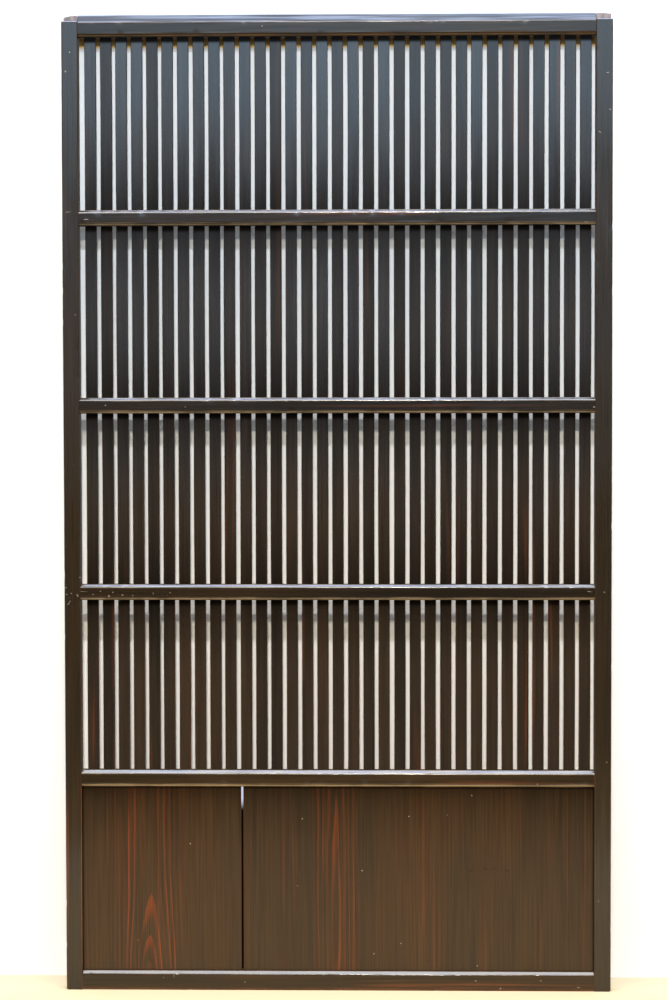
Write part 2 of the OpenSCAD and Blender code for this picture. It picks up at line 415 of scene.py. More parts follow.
def stile_top(shoulder, inner, outer, half, side):
    """The sections above the stile's shoulder: the shoulder's own top, the tongue's root on it, and the
    tongue's eased top, which sinks by d s^2 towards its outer end, s running from 0 to 1."""
    inset = shoulder.copy()
    inset[:, :2] += (np.array([(inner + outer) / 2, 0]) - shoulder[:, :2]) * shoulder_in
    step_x = outer - side * tongue_end_step
    root = inset.copy()
    root[:, 0] = np.clip(root[:, 0], min(inner, step_x), max(inner, step_x))
    root[:, 1] = np.clip(root[:, 1], tongue_front, half - tongue_back)
    top = root.copy()
    top[:, 1] = np.clip(top[:, 1], tongue_front + tongue_lean, half - tongue_ease)
    s = np.clip(np.abs(top[:, 0] - inner) / tongue_run, 0, 1)
    top[:, 2] = leaf_top - tongue_sag - s ** 2 * tongue_drop[side]
    eased = top.copy()
    top[:, 2] -= tongue_ease
    eased[:, :2] += (top[:, :2].mean(0) - eased[:, :2]) * tongue_in
    return np.stack([inset, root, top, eased])


def stile(node, side, nicks):
    """The stile's outline in x and y carried up z, with blind pockets in its inner side. Over the last four
    millimetres of the foot the outer side follows a quarter circle. Both stiles are painted lighter at the
    panel's height, standing in for the light from the floor, where the left one's inner edge is worn and the
    right one's is still dark. side is -1 for the left stile and 1 for the right one."""
    low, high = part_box(node)
    x0, x1, half = low.x, high.x, high.y
    corners = [(x0, -half), (x1, -half), (x1, half), (x0, half)]
    marks = [(1, s * v) for s in (-1, 1) for v in (tenon_half, groove_half)]
    flat = outline_points(rounded(corners, stile_ease), stile_around, marks)
    mortises = [(z0 + tenon_shoulder, z1 - tenon_shoulder) for z0, z1 in rail_z.values()]
    groove = (panel_z0 - groove_depth, panel_z1 + groove_depth)
    foot = foot_round * (1 - np.cos(np.linspace(0, np.pi / 2, foot_rows)))
    z = np.concatenate([foot, np.ravel(mortises), groove, [shoulder_z - shoulder_row, shoulder_z]])
    z = filled(np.unique(np.round(z, 7)), stile_step)
    sections = np.broadcast_to(flat, (len(z), *flat.shape)).copy()
    inner, outer = (x1, x0) if side < 0 else (x0, x1)
    bow = stile_bow * swell(z, bow_length)
    lift = np.clip(foot_round - z, 0, None)
    cut = foot_round - np.sqrt(foot_round ** 2 - lift ** 2)
    squeeze = (sections[..., 0] - inner) / (outer - inner)
    sections[..., 0] += -side * squeeze * (cut + stile_inset + bow)[:, None]
    points = np.dstack([sections, np.broadcast_to(z[:, None], sections.shape[:2])])
    chips = [(np.array([rng.choice([x0, x1]), -half, h]), rng.uniform(*stile_chip_r) * MM)
             for h in rng.uniform(chips_from, shoulder_z, stile_chips)]
    points = worn_in(points, z, stile_wave, chips, stile_chip_depth)
    points[:, :, 2] = np.clip(points[:, :, 2], 0, shoulder_z)
    above = stile_top(points[-1], inner, outer, half, side)
    points[-1, :, 2] -= shoulder_ease
    points = np.concatenate([points, above])
    into = np.array([side * tenon_depth, 0, 0])
    cuts = [(mortise, tenon_half, into) for mortise in mortises]
    cuts.append((groove, groove_half, into * groove_depth / tenon_depth))
    pockets = []
    for (a, b), half_y, depth in cuts:
        i0, i1 = (int(np.argmin(np.abs(z - v))) for v in (a, b))
        pockets.append((i0, i1, *columns(flat, 1, half_y, inner), depth))
    heights = points[:, :, 2]
    by_panel = (np.abs(flat[:, 0] - inner) < stile_ease) & (flat[:, 1] < 0)
    by_panel = by_panel & (heights > panel_z0) & (heights < panel_z1)
    arris = worn_edges(flat, len(points), stile_step)
    arris = np.where(by_panel, panel_edge_wear[side] * turning(flat), arris)
    # Painted light from the floor, strongest at the panel's height
    clean_and_lit = 1 + floor_light_more[side] * np.exp(-((heights[:, :1] - floor_light_z) / floor_light_reach) ** 2)
    piece = skin(node + "_wood", points, arris, clean_and_lit, blind=pockets)
    material = stained_wood(
        node + "_stain", "Z", dark=(42, 33, 21), brown=(54, 39, 23), warm=(132, 66, 30), streaks=0.5,
        gloss=0.14, shine=0.41, nicks=nicks, warm_light_fade=(0.35, 0.85),
        bared=(shoulder_z + 0.2 * MM, (56, 46, 46), (100, 86, 84)))
    settle(piece, node, material)


stile("stile_left", -1, [
    (-469.8, -15, 1664.0, 1.6, 1.2, 20), (-477.0, -15, 1630.4, 2.0, 1.6, 0),
    (-473.5, -15, 1383.8, 6.0, 0.5, -4), (-480.7, -15, 707.5, 1.5, 1.2, 0),
    (-472.6, -15, 709.5, 1.6, 0.8, 30), (-461.1, -15, 705.5, 3.4, 1.1, 60),
    (-456.4, -15, 737.7, 1.4, 1.2, 0), (-482.1, -15, 719.6, 1.6, 1.0, 20),
    (-475.7, -15, 694.4, 3.0, 0.7, -50), (-477.7, -15, 690.4, 2.6, 0.6, -35),
    (-475.7, -15, 701.5, 1.6, 0.6, 0), (-462.6, -15, 1202.8, 1.5, 0.6, 0),
    (-467.2, -15, 937.2, 1.2, 0.5, 0)])
stile("stile_right", 1, [
    (475.2, -15, 1624.0, 2.6, 1.0, -8), (479.4, -15, 1560.0, 2.2, 0.7, 30),
    (476.5, -15, 410.0, 1.6, 0.9, 0), (462.7, -15, 162.0, 1.3, 1.0, 0),
    (461.7, -15, 1520.7, 3.0, 0.6, 35), (471.7, -15, 711.8, 2.0, 0.8, 0)])


# The rails, of the same cedar: four slim bars with hand planed chamfers on their long edges, the head rail
# with its tongue above them, and the bottom rail under the panel. Their faces lie a millimetre behind the
# stiles' faces, and blind tenons hold them.
clear_x0, clear_x1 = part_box("stile_left")[1].x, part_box("stile_right")[0].x
rail_half = 14 * MM
rail_ease = 0.9 * MM
rail_around, rail_step = 3.5 * MM, 4 * MM
low_lines, crown_lines = (0.28, 0.5, 0.72), (0.4, 0.66, 0.70, 0.74)
plane_crown = 0.26 * MM
top_breath, low_breath = 0.35 * MM, 0.15 * MM
top_breath_length, low_breath_length = 0.13, 0.15
breath_behind, breath_reach = 2 * MM, 3 * MM
rail_wave = 0.10 * MM
rail_chips, rail_chip_depth, rail_chip_r = 9, 0.6 * MM, (2.5, 5)
tongue_radii = [1.6 * MM, 1.2 * MM, 0.6 * MM, 1.5 * MM]
# A darker band on both sides of the pale line on the lower chamfers, and how pale the line is: worn wood,
# paler towards the floor as painted reflection of it
dark_band_strength, dark_band_over, dark_band_reach = 0.75, 2 * MM, 0.2 * MM
line_share, line_least, line_reach = 0.42, 2 * MM, 0.3 * MM
line_at_foot, line_per_metre, line_range = 4.6, 2.65, (1.0, 4.0)
slat_nodes = sorted(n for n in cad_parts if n.startswith("slat_"))
slat_x = np.array([(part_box(n)[0].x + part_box(n)[1].x) / 2 for n in slat_nodes])
slat_half_w, slat_half_t = 10 * MM, 5 * MM
mortise_gap = 0.1 * MM
stub_half_w, stub_half_t, stub_depth = 6.6 * MM, 3.1 * MM, 10.1 * MM


def tenoned(points, low, high, out):
    """Adds a tenon to both ends of a grid: the end section clipped between the corners low and high, and the
    same once more, moved outwards by the vector out."""
    first, last = (np.clip(points[row], low, high) for row in (0, -1))
    return np.concatenate([[first - out], [first], points, [last], [last + out]])


def handled(outline, rows, chamfer, z0):
    """Wear and darkening of a rail. A pale line runs along the middle of the lower front chamfer, darker on
    both sides of it, and the lower the rail the paler the line: worn wood, and lower down also a painted
    reflection of the lit floor."""
    front = outline[:, 0] < chamfer - rail_half + line_reach
    line_half = max(line_share * chamfer, line_least)
    line_paleness = np.clip(line_at_foot - line_per_metre * z0, *line_range)
    line = np.clip(1 - np.abs(outline[:, 1] - z0 - chamfer / 2) / line_half, 0, 1) * front
    dark_band = (chamfer > dark_band_over) * front * (outline[:, 1] < z0 + chamfer + dark_band_reach)
    arris = np.maximum(worn_edges(outline, rows, rail_step), line_paleness * line[None, :])
    return arris, 1 - dark_band_strength * (dark_band * (1 - line))[None, :]


def rail(node, low_chamfer, high_chamfer, material, holes, tongue=False, grooves=()):
    """The rail's outline in y and z carried along x. Two strokes of the plane crown each upper chamfer by
    c min(t / 0.3, (1 - t) / 0.7), half as high on the bottom rail, and all chamfers breathe a little. At each
    shoulder the section steps in to the tenon's rectangle. holes is half the width, half the thickness and
    the depth of the slats' mortises, where no depth means through. grooves lists the height of a face and the
    depth of its groove."""
    z0, z1 = rail_z[node]
    a, b, h = low_chamfer, high_chamfer, rail_half
    if tongue:
        corners = [(-h, z0 + a), (a - h, z0), (h - a, z0), (h, z0 + a), (h, leaf_top),
                   (tongue_front + tongue_lean, leaf_top), (tongue_front, z1), (-h, z1)]
        radii = np.array([rail_ease] * 4 + tongue_radii)
    else:
        corners = [(-h, z0 + a), (a - h, z0), (h - a, z0), (h, z0 + a),
                   (h, z1 - b), (h - b, z1), (b - h, z1), (-h, z1 - b)]
        radii = np.full(8, rail_ease)
    radii[:4] = min(rail_ease, 0.45 * a)
    hole_w, hole_t, hole_depth = holes
    marks = [(0, s * v) for s in (-1, 1) for v in (hole_t, groove_half)]
    marks += [(1, z0 + a * v) for v in low_lines] + [(1, z1 - b * v) for v in crown_lines]
    flat = outline_points(rounded(corners, radii), rail_around, marks)
    t = np.clip((flat[:, 1] - z1 + b) / max(b, MM), 0, 1) * (b > 0)
    peak = plane_crown * (0.5 if node == "bottom_rail" else 1)
    crown = peak * np.minimum(t / 0.3, (1 - t) / 0.7) / np.sqrt(2)
    flat += np.stack([np.sign(flat[:, 0]) * crown, crown], 1) * (np.abs(flat[:, :1]) > h - b) * (b > 0)
    edges = (slat_x[:, None] + np.array([-hole_w, hole_w])).ravel() if hole_w else np.array([])
    x = np.concatenate([[clear_x0, clear_x0 + 0.5 * MM, clear_x1 - 0.5 * MM, clear_x1], edges])
    x = filled(np.unique(np.round(x, 7)), rail_step)
    sections = np.broadcast_to(flat, (len(x), *flat.shape)).copy()
    middle = (z0 + z1) / 2
    near = np.exp(-((np.abs(flat[:, 0]) - h + breath_behind) / breath_reach) ** 2)
    top_line = near * (flat[:, 1] > middle) * (flat[:, 1] < z1 - 0.2 * b + MICRON)
    low_line = near * (flat[:, 1] < middle)
    sections[..., 1] -= (top_breath * swell(x, top_breath_length))[:, None] * top_line
    sections[..., 1] += (low_breath * swell(x, low_breath_length))[:, None] * low_line
    points = np.dstack([np.broadcast_to(x[:, None], sections.shape[:2]), sections])
    chips = [(np.array([cx, -h, rng.choice([z0 + a, z1 - b])]), rng.uniform(*rail_chip_r) * MM)
             for cx in rng.uniform(clear_x0, clear_x1, rail_chips)]
    points = worn_in(points, x, rail_wave, chips, rail_chip_depth)
    points[0, :, 0], points[-1, :, 0] = clear_x0, clear_x1
    tenon_y = tenon_half - mortise_gap
    low = np.array([-np.inf, -tenon_y, z0 + tenon_shoulder + mortise_gap])
    high = np.array([np.inf, tenon_y, z1 - tenon_shoulder - mortise_gap])
    points = tenoned(points, low, high, np.array([tenon_depth - mortise_gap, 0, 0]))
    blind, through = [], []
    if hole_w:
        rows = [int(np.argmin(np.abs(x - v))) + 2 for v in edges]
        low_rim, high_rim = [columns(flat, 0, hole_t, face) for face in (z0, z1)]
        for i0, i1 in zip(rows[::2], rows[1::2]):
            if tongue:
                blind.append((i0, i1, *low_rim, np.array([0, 0, hole_depth])))
            elif hole_depth:
                blind.append((i0, i1, *high_rim, np.array([0, 0, -hole_depth])))
            else:
                through.append((i0, i1, *low_rim, *high_rim))
    for face, depth in grooves:
        rim = columns(flat, 0, groove_half, face)
        blind.append((3, len(points) - 4, *rim, np.array([0, 0, depth])))
    arris, clean_and_lit = handled(flat, len(points), a, z0)
    piece = skin(node + "_wood", points, arris, clean_and_lit, blind=blind, through=through)
    settle(piece, node, material)


rail_stain = stained_wood(
    "rail_stain", "X", dark=(30, 23, 14), brown=(43, 31, 18), warm=(122, 66, 32), streaks=0.5, gloss=0.15,
    shine=0.42, worn=(220, 188, 150), nicks=[
        (-451.6, -14, 712.5, 8.0, 0.45, 2), (-433.5, -14, 707.4, 1.5, 1.0, 0),
        (-420.4, -14, 713.0, 1.3, 1.2, 0), (-398.3, -14, 711.5, 1.3, 1.1, 0),
        (-405.5, -13.5, 704.4, 2.0, 1.5, 0), (-381.3, -14, 706.5, 1.7, 1.2, 20),
        (-363.2, -14, 705.5, 1.2, 1.0, 0), (-327.0, -14, 709.5, 2.0, 0.9, 60),
        (-296.9, -14, 710.5, 1.3, 1.0, 0), (-300.9, -14, 706.0, 1.0, 0.8, 0),
        (445.9, -14, 712.7, 5.0, 0.8, 10), (-268.4, -14, 1039.9, 1.6, 0.9, 0),
        (453.1, -14, 1038.8, 2.0, 1.2, 0), (-410.1, -14, 1043.1, 1.3, 1.2, 0),
        (438.4, -14, 1363.5, 4.0, 0.8, 0), (-442.8, -14, 1370.8, 5.0, 0.8, 0)])
waist_stain = stained_wood(
    "waist_stain", "X", dark=(44, 33, 18), brown=(61, 44, 24), warm=(122, 66, 32), streaks=0.5, gloss=0.15,
    shine=0.42, worn=(228, 196, 156), nicks=[(353.8, -13.5, 370.3, 1.8, 1.3, 0)])
# The head's tongue is bare weathered wood; the blue in its greys is painted light from above
head_stain = stained_wood(
    "head_stain", "X", dark=(36, 31, 25), brown=(50, 41, 32), warm=(112, 80, 52), streaks=0.5, gloss=0.18,
    shine=0.30, worn=(140, 94, 46), bared=(head_z + 0.3 * MM, (56, 61, 72), (112, 122, 142)), nicks=[
        (-130.5, -14, 1707.8, 1.6, 1.2, 0), (-125.6, -13.5, 1716.7, 6.0, 1.0, 0),
        (311.2, -14, 1690.8, 1.6, 1.0, 0)])
foot_stain = stained_wood(
    "foot_stain", "X", dark=(46, 33, 17), brown=(57, 39, 20), warm=(138, 72, 34), streaks=0.7, gloss=0.15,
    shine=0.33, worn=(118, 66, 34), nicks=[
        (-292.8, -14, 25.3, 0.9, 3.0, 0), (-311.0, -14, 22.2, 1.2, 0.8, 0),
        (-165.7, -14, 14.6, 1.5, 1.2, 0), (244.9, -14, 18.3, 2.0, 0.9, 0),
        (360.4, -14, 18.8, 1.5, 1.3, 0), (289.1, -14, 4.8, 1.6, 1.2, 0), (427.6, -14, 6.9, 3.0, 1.0, 0)])
stub_hole = (stub_half_w, stub_half_t, stub_depth)
no_hole = (0, stub_half_t, 0)
slat_hole = (slat_half_w + mortise_gap, slat_half_t + mortise_gap, 0)
rail("bottom_rail", 1 * MM, 5.5 * MM, foot_stain, no_hole, grooves=[(panel_z0, -groove_depth)])
rail("waist_rail", 6 * MM, 6 * MM, waist_stain, stub_hole, grooves=[(panel_z1, groove_depth)])
for node in ("cross_rail_3", "cross_rail_2", "cross_rail_1"):
    rail(node, 5 * MM, 5 * MM, rail_stain, slat_hole)
rail("top_rail", 5.5 * MM, 0, head_stain, stub_hole, tongue=True)


# The lattice: thirty-three cedar slats, each one stick that runs through all the cross rails and ends in a
# stub tenon in the waist rail and in the head. Planing left their faces very slightly crowned, and the stain
# took on each in its own tone.
lattice_z0, lattice_z1 = rail_z["waist_rail"][1], rail_z["top_rail"][0]
held_z = np.sort(np.ravel([rail_z[n] for n in ("cross_rail_3", "cross_rail_2", "cross_rail_1")]))
slat_ease = 0.9 * MM
slat_around, slat_step = 3.4 * MM, 14 * MM
slat_bow, slat_lean = 0.28 * MM, 0.12 * MM
slat_crown = (0.02, 0.16)
# Painted shade near the rails and painted shadow right under them, over these reaches
shadow_below = 6 * MM
rail_dark_reach, rail_dark_least, rail_dark_gain = 0.12, 0.42, 0.58
slat_pitch = (slat_x[-1] - slat_x[0]) / (len(slat_x) - 1)
slat_stain = stained_wood(
    "slat_stain", "Z", dark=(38, 32, 25), brown=(55, 41, 28), warm=(120, 60, 26), streaks=0.7, gloss=0.14,
    shine=0.47, tone=(slat_x[0] - slat_pitch / 2, slat_pitch), warm_light_fade=(0.6, 1.1))
slat_corners = [(-slat_half_w, -slat_half_t), (slat_half_w, -slat_half_t),
                (slat_half_w, slat_half_t), (-slat_half_w, slat_half_t)]
slat_outline = outline_points(rounded(slat_corners, slat_ease), slat_around)
bay_ends = np.concatenate([[lattice_z0], held_z, [lattice_z1]])
bay_start, bay_end = bay_ends[::2], bay_ends[1::2]
slat_z = np.concatenate([bay_ends, bay_end - shadow_below, bay_end - 2 * shadow_below])
slat_z = filled(np.unique(np.round(slat_z, 7)), slat_step)
share = np.clip((slat_z[:, None] - bay_start) / (bay_end - bay_start), 0, 1)
free = np.sin(np.pi * share) * (share > 0) * (share < 1)
# The slats are darker near the rails, by dirt and painted shade, and darkest right under them, where the
# rails' shadow is painted.
near_rail = np.min([np.abs(slat_z - v) for v in bay_ends[1:-1]], axis=0)
slat_clean_and_lit = rail_dark_least + rail_dark_gain * np.clip(near_rail / rail_dark_reach, 0, 1)
# Painted shadow: right under each rail the slats are dark over six millimetres and come back over six more
under = np.min([np.where(slat_z < v + MICRON, v - slat_z, 1) for v in bay_end], axis=0)
slat_clean_and_lit = slat_clean_and_lit * np.clip((under - shadow_below) / shadow_below, 0, 1)
slat_clean_and_lit = np.pad(slat_clean_and_lit, 2, mode="edge")[:, None]
stub_x, stub_y = stub_half_w - mortise_gap, stub_half_t - mortise_gap


def slat(node, centre):
    """The slat's outline in x and y carried up z. In each bay it bows sideways by b sin(pi t), its faces sink
    towards their edges by c (x / w)^2, and it is turned slightly about its own length."""
    bow = (free * rng.normal(0, slat_bow, len(bay_start))).sum(1)
    crown = rng.uniform(*slat_crown) * MM * free.sum(1)
    lean = rng.normal(0, slat_lean) * free.sum(1)
    across = slat_outline[:, 0] / slat_half_w
    y = slat_outline[:, 1] * (1 - crown[:, None] * across ** 2 / slat_half_t)
    y = y + lean[:, None] * across
    x = centre + slat_outline[:, 0] + bow[:, None]
    points = np.stack([x, y, np.broadcast_to(slat_z[:, None], y.shape)], -1)
    low = np.array([centre - stub_x, -stub_y, -np.inf])
    high = np.array([centre + stub_x, stub_y, np.inf])
    points = tenoned(points, low, high, np.array([0, 0, stub_depth - mortise_gap]))
    piece = skin(node + "_wood", points, turning(slat_outline)[None, :], slat_clean_and_lit)
    settle(piece, node, slat_stain)


for node, centre in zip(slat_nodes, slat_x):
    slat(node, centre)


# The foot panel: two flat sawn cedar boards standing in grooves all round, with an open crack between them
# where they have shrunk apart. The stain is thin here, so the arched grain glows orange through it.
board_half = 3.5 * MM
board_ease, board_step = 0.9 * MM, 6 * MM
cup_depth, ripple_depth, ripple_length = 0.4 * MM, 0.05 * MM, 0.04
# Painted shade on the boards: darker right under the waist rail and in a strip beside the stile
dark_beside, beside_least = 4 * MM, 0.2
dark_under, under_least, under_gain, under_power = 0.11, 0.25, 0.75, 0.40


def arched_rings(xc, zt, dm, k, ring, reach, phase):
    """Growth rings of a log whose heart stands d behind the board at x = xc. Above the height zt d is dm, and
    below it dm - k (zt - z)^2. A ring's radius is r = sqrt((x - xc)^2 + d^2), and r over the width of a ring
    is its number n, so each whole number draws an arch. Its strength follows cos(2 n + phase), and beyond the
    given reach the rings hardly show."""

    def rings(add, ramp, times, noise, place):
        x = add("SeparateXYZ", place, out="X")
        z = add("SeparateXYZ", place, out="Z")
        bend = add("MapRange", noise(7.0, 2.2, 2.0), 0.0, 1.0, -0.010, 0.010)
        x = add("Math", x, bend, operation="ADD")
        x = add("Math", x, xc, operation="SUBTRACT")
        u = add("Math", zt, z, operation="SUBTRACT")
        u = add("Math", u, 0.0, operation="MAXIMUM")
        d = add("Math", times(u, u), -k, dm, operation="MULTIPLY_ADD")
        frayed = add("MapRange", noise(90.0, 26.0, 2.0), 0.0, 1.0, -0.0007, 0.0007)
        d = add("Math", d, frayed, operation="ADD")
        r = add("Math", times(x, x), times(d, d), operation="ADD")
        r = add("Math", add("Math", r, operation="SQRT"), ring, operation="DIVIDE")
        number = add("Math", r, operation="FLOOR")
        part = add("Math", r, operation="FRACT")
        own = add("Math", number, 2.0, phase, operation="MULTIPLY_ADD")
        own = add("Math", own, operation="COSINE")
        line = times(ramp(part, 0.35, 0.9), ramp(part, 1.0, 0.93))
        line = times(line, ramp(own, -1.0, 0.6, 0.35, 1.0))
        near = ramp(add("Math", x, operation="ABSOLUTE"), reach, 0.35 * reach, 0.08, 1.0)
        line = times(times(line, near), ramp(noise(60.0, 3.0, 3.0), 0.35, 0.62, 0.3, 1.0))
        faint = times(ramp(noise(120.0, 1.5, 2.0), 0.58, 0.70), 0.28)
        return add("Math", line, faint, operation="MAXIMUM")
    return rings


def board(node, cracked_side, rings, nicks, scores=()):
    """A flat board whose outline in x and y is carried up z. Between its grooves it cups by up to a third of
    a millimetre: y moves by c sin(pi t) (0.6 sin(pi f) + 0.4 f), with f growing from 0 to 1 towards the
    crack. Painted shade makes it darkest right under the waist rail and beside the stile."""
    low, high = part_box(node)
    x0, x1, z0, z1 = low.x, high.x, low.z, high.z
    corners = [(x0, -board_half), (x1, -board_half), (x1, board_half), (x0, board_half)]
    stile_x = clear_x0 if cracked_side > 0 else clear_x1
    marks = [(0, stile_x + v) for v in (-dark_beside, 0.0, dark_beside)]
    flat = outline_points(rounded(corners, board_ease), board_step, marks)
    z = filled(np.array([z0, panel_z0, panel_z1, z1]), board_step)
    t = np.clip((z - panel_z0) / (panel_z1 - panel_z0), 0, 1)
    f = np.clip((flat[:, 0] - x0) / (x1 - x0), 0, 1)
    f = f if cracked_side > 0 else 1 - f
    cup = cup_depth * np.sin(np.pi * t)[:, None] * (np.sin(np.pi * f) * 0.6 + f * 0.4)
    ripple = ripple_depth * drift(flat[:, 0], ripple_length) * np.sin(np.pi * t)[:, None]
    points = np.dstack([np.broadcast_to(flat[:, 0], cup.shape), flat[:, 1] + cup + ripple,
                        np.broadcast_to(z[:, None], cup.shape)])
    # Painted shade under the waist rail and beside the stile
    under = np.clip((panel_z1 - points[:, :, 2]) / dark_under, 0, 1)
    beside = np.clip(np.abs(points[:, :, 0] - stile_x) / dark_beside, beside_least, 1)
    clean_and_lit = (under_least + under_gain * under ** under_power) * beside
    piece = skin(node + "_wood", points, turning(flat)[None, :], clean_and_lit)
    material = stained_wood(
        node + "_stain", "Z", dark=(56, 42, 24), brown=(67, 46, 24), warm=(118, 55, 24), streaks=0.85,
        gloss=0.20, shine=0.29, nicks=nicks, rings=rings, scores=scores)
    settle(piece, node, material)


left_rings = arched_rings(xc=-0.334, zt=0.239, dm=0.0243, k=0.473, ring=0.00735, reach=0.085, phase=-3.0)
right_rings = arched_rings(xc=-0.004, zt=0.55, dm=0.0107, k=0.0587, ring=0.0085, reach=0.050, phase=0.0)
board("panel_board_left", 1, left_rings, nicks=[
    (-263.4, -4, 261.1, 1.3, 1.4, 0), (-357.2, -4, 87.0, 2.2, 0.5, 0)])
board("panel_board_right", -1, right_rings, nicks=[
    (-63.6, -4, 306.2, 1.5, 1.4, 0), (-71.9, -4, 185.6, 1.4, 1.1, 0), (43.0, -4, 213.3, 1.5, 1.5, 0),
    (126.5, -4, 310.7, 1.2, 1.2, 0), (194.9, -4, 312.9, 1.3, 1.2, 0), (238.0, -4, 348.4, 1.4, 1.6, 0),
    (112.3, -4, 82.6, 1.2, 1.1, 0), (63.9, -4, 64.2, 1.3, 1.2, 0), (248.2, -4, 43.0, 1.2, 1.1, 0)], scores=[
    (237.2, -4, 213.7, 4.6, 0.95, -16), (239.7, -4, 220.6, 2.0, 0.95, -25),
    (262.3, -4, 217.4, 5.0, 1.04, -4), (276.9, -4, 217.4, 5.0, 0.66, 0),
    (300.0, -4, 214.3, 5.6, 0.95, 12), (18.1, -4, 134.1, 1.3, 1.2, 0), (38.4, -4, 189.5, 1.1, 0.9, 0),
    (159.6, -4, 51.5, 1.3, 0.9, 0)])


# The room: a pale floor, and a pale backdrop that leans from a hand behind the leaf's foot to close behind
# its head. Two keys high in front cast the rails' double shadows on it, two strips overhead draw the
# chamfers, and a bluish window and two glows fill the sheen, with dark cards round the front to keep it deep.
white, dim = 1.0, 0.05


def flat_mesh(name, corners, faces):
    """A piece of the room from plain corners."""
    piece = bpy.data.objects.new(name, bpy.data.meshes.new(name))
    piece.data.from_pydata(corners, [], faces)
    bpy.context.scene.collection.objects.link(piece)
    piece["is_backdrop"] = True
    return piece


def seen_by_eye(add):
    """1 for rays that come from the camera, off a glossy surface or through glass, and 0 for all others."""
    seen = add("LightPath", out="Is Camera Ray")
    for ray in ("Is Glossy Ray", "Is Transmission Ray"):
        seen = add("Math", seen, add("LightPath", out=ray), operation="MAXIMUM")
    return seen


def fading_paint(name, colour, centre, reach, start, end, least=0.0):
    """Matt paint that fades into the white of the world away from the leaf: the fade runs with the length of
    (place - centre) / reach from start to end, and least of it is everywhere. Returns the material, the
    function that adds a node to it, and the shader."""
    paint = bpy.data.materials.new(name)
    paint.use_nodes = True
    add = wiring(paint.node_tree)
    matt = paint.node_tree.nodes["Principled BSDF"]
    matt.inputs["Base Color"].default_value = colour
    matt.inputs["Roughness"].default_value = 0.8
    away = add("VectorMath", add("TexCoord", out="Object"), centre, operation="SUBTRACT")
    away = add("VectorMath", away, reach, operation="DIVIDE")
    away = add("VectorMath", away, operation="LENGTH")
    away = add("MapRange", away, start, end, least, 1.0, interpolation_type="SMOOTHSTEP")
    away = add("Math", away, seen_by_eye(add), operation="MULTIPLY")
    glow = add("Emission", (white, white, white, 1), 1.0)
    return paint, add, add("MixShader", away, matt.outputs[0], glow)


floor_r, floor_corners = 9.0, 64
turns = np.linspace(0, 2 * np.pi, floor_corners, endpoint=False)
floor_rim = np.stack([floor_r * np.cos(turns), floor_r * np.sin(turns), 0 * turns], 1)
floor = flat_mesh("floor", floor_rim, [list(range(floor_corners))])
floor_paint, _, shown = fading_paint(
    "floor_paint", linear(208, 190, 150), centre=(0, 0, 0), reach=(1, 1, 1), start=0.9, end=1.6)
floor_paint.node_tree.links.new(shown, floor_paint.node_tree.nodes["Material Output"].inputs["Surface"])
floor.data.materials.append(floor_paint)

drop_foot_y, drop_lean, drop_x, drop_z = 0.1024, -0.0494, 4.0, 3.0
drop_top_y = drop_foot_y + drop_lean * drop_z
drop_corners = [(-drop_x, drop_foot_y, 0), (drop_x, drop_foot_y, 0),
                (drop_x, drop_top_y, drop_z), (-drop_x, drop_top_y, drop_z)]
hidden_half = clear_x1 + 20 * MM
# Painted light and shade on the backdrop: the light tint's heights, the painted shadow and light behind the
# crack, and the painted ochre shade behind the head
light_tint_z = (0.7, 1.25)
crack_x, crack_shade_reach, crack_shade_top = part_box("panel_board_left")[1].x, 30 * MM, 0.36
painted_daylight_z = (0.306, 0.330)
ochre_shade_z, ochre_shade_deepens, ochre_shade_top = (1.671, 1.678), (1.675, 1.687), 1.71


